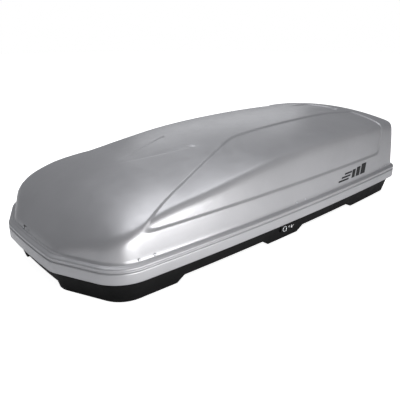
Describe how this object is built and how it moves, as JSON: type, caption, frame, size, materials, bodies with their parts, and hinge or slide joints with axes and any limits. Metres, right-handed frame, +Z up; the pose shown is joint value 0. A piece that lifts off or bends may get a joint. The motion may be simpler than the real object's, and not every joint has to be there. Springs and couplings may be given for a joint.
{
  "type": "roof cargo box",
  "caption": "Long low car roof box: stepped black tub, silver lid hinged along one side, key lock working a hook bar, and lid lifters.",
  "frame": {"origin": "below the middle of the box, on the plane of the tub's lowest floor", "axes": "X along the box with the nose at -X, -Y the lock side, +Y the hinge side, +Z up"},
  "size_m": [1.9798, 0.9361, 0.446],
  "materials": {
    "silver_plastic": "satin metallic silver",
    "black_plastic": "grained black",
    "seal_rubber": "matt black",
    "chrome": "bright",
    "nylon": "fine-grained black",
    "black_paint": "gloss black",
    "rivet_aluminium": "satin",
    "die_cast_zinc": "satin",
    "polished_steel": "polished",
    "zinc_plated_steel": "bright zinc"
  },
  "bodies": {
    "tub": {"base_tub": "black_plastic", "rim_seal": "seal_rubber", "floor_rail_hinge_side": "zinc_plated_steel", "floor_rail_lock_side": "zinc_plated_steel", "floor_rivets": "rivet_aluminium", "hinge_base_front": "zinc_plated_steel", "hinge_base_middle": "zinc_plated_steel", "hinge_base_rear": "zinc_plated_steel", "hinge_pin_front": "polished_steel", "hinge_pin_middle": "polished_steel", "hinge_pin_rear": "polished_steel", "hinge_base_rivets": "rivet_aluminium", "lock_housing": "nylon", "lock_ring": "chrome", "lock_nut": "nylon", "bar_guide_1": "nylon", "bar_guide_2": "nylon", "bar_guide_3": "nylon", "bar_guide_4": "nylon", "lifter_foot_front": "zinc_plated_steel", "lifter_foot_rear": "zinc_plated_steel", "lifter_pin_front": "polished_steel", "lifter_pin_rear": "polished_steel", "nose_receiver": "nylon"},
    "lid": {"lid_shell": "silver_plastic", "hinge_leaf_front": "zinc_plated_steel", "hinge_leaf_middle": "zinc_plated_steel", "hinge_leaf_rear": "zinc_plated_steel", "hinge_leaf_rivets": "rivet_aluminium", "catch_front": "zinc_plated_steel", "catch_middle": "zinc_plated_steel", "catch_rear": "zinc_plated_steel", "catch_rivets": "rivet_aluminium", "lifter_bracket_front": "zinc_plated_steel", "lifter_bracket_rear": "zinc_plated_steel", "lifter_rivets": "rivet_aluminium", "nose_locator": "nylon", "nose_rivets": "rivet_aluminium"},
    "lock_cylinder": {"lock_barrel": "die_cast_zinc", "lock_cam": "zinc_plated_steel", "cam_screw": "zinc_plated_steel"},
    "lock_bar": {"lock_bar": "zinc_plated_steel", "hook_rivets": "rivet_aluminium", "hook_front": "zinc_plated_steel", "hook_middle": "zinc_plated_steel", "hook_rear": "zinc_plated_steel"},
    "lifter_tube_front": {"lifter_tube_front": "black_paint"},
    "lifter_rod_front": {"lifter_rod_front": "polished_steel"},
    "lifter_tube_rear": {"lifter_tube_rear": "black_paint"},
    "lifter_rod_rear": {"lifter_rod_rear": "polished_steel"}
  },
  "joints": [
    {"name": "lid_hinge", "type": "hinge", "parent": "tub", "child": "lid", "pos_m": [0, 0.45, 0.086], "axis": [-1, 0, 0], "range_deg": [0, 45]},
    {"name": "lock_turn", "type": "hinge", "parent": "tub", "child": "lock_cylinder", "pos_m": [-0.04, -0.443, 0.057], "axis": [0, 1, 0], "range_deg": [0, 90]},
    {"name": "bar_slide", "type": "slide", "parent": "tub", "child": "lock_bar", "axis": [1, 0, 0], "range_m": [0, 0.02]},
    {"name": "lifter_front_swing", "type": "hinge", "parent": "tub", "child": "lifter_tube_front", "pos_m": [-0.69, 0.325, 0.055], "axis": [-1, 0, 0], "range_deg": [0, 21]},
    {"name": "lifter_front_extend", "type": "slide", "parent": "lifter_tube_front", "child": "lifter_rod_front", "axis": [0, 0.4338, 0.901], "range_m": [0, 0.068]},
    {"name": "lifter_rear_swing", "type": "hinge", "parent": "tub", "child": "lifter_tube_rear", "pos_m": [0.7, 0.325, 0.055], "axis": [-1, 0, 0], "range_deg": [0, 21]},
    {"name": "lifter_rear_extend", "type": "slide", "parent": "lifter_tube_rear", "child": "lifter_rod_rear", "axis": [0, 0.4338, 0.901], "range_m": [0, 0.068]}
  ],
  "couplings": [
    {"joint": "lock_turn", "follows": "bar_slide", "rad_per_m": 78.54},
    {"joint": "lifter_front_swing", "follows": "lid_hinge", "ratio": 0.465},
    {"joint": "lifter_front_extend", "follows": "lid_hinge", "m_per_rad": 0.0861},
    {"joint": "lifter_rear_swing", "follows": "lid_hinge", "ratio": 0.465},
    {"joint": "lifter_rear_extend", "follows": "lid_hinge", "m_per_rad": 0.0861}
  ]
}
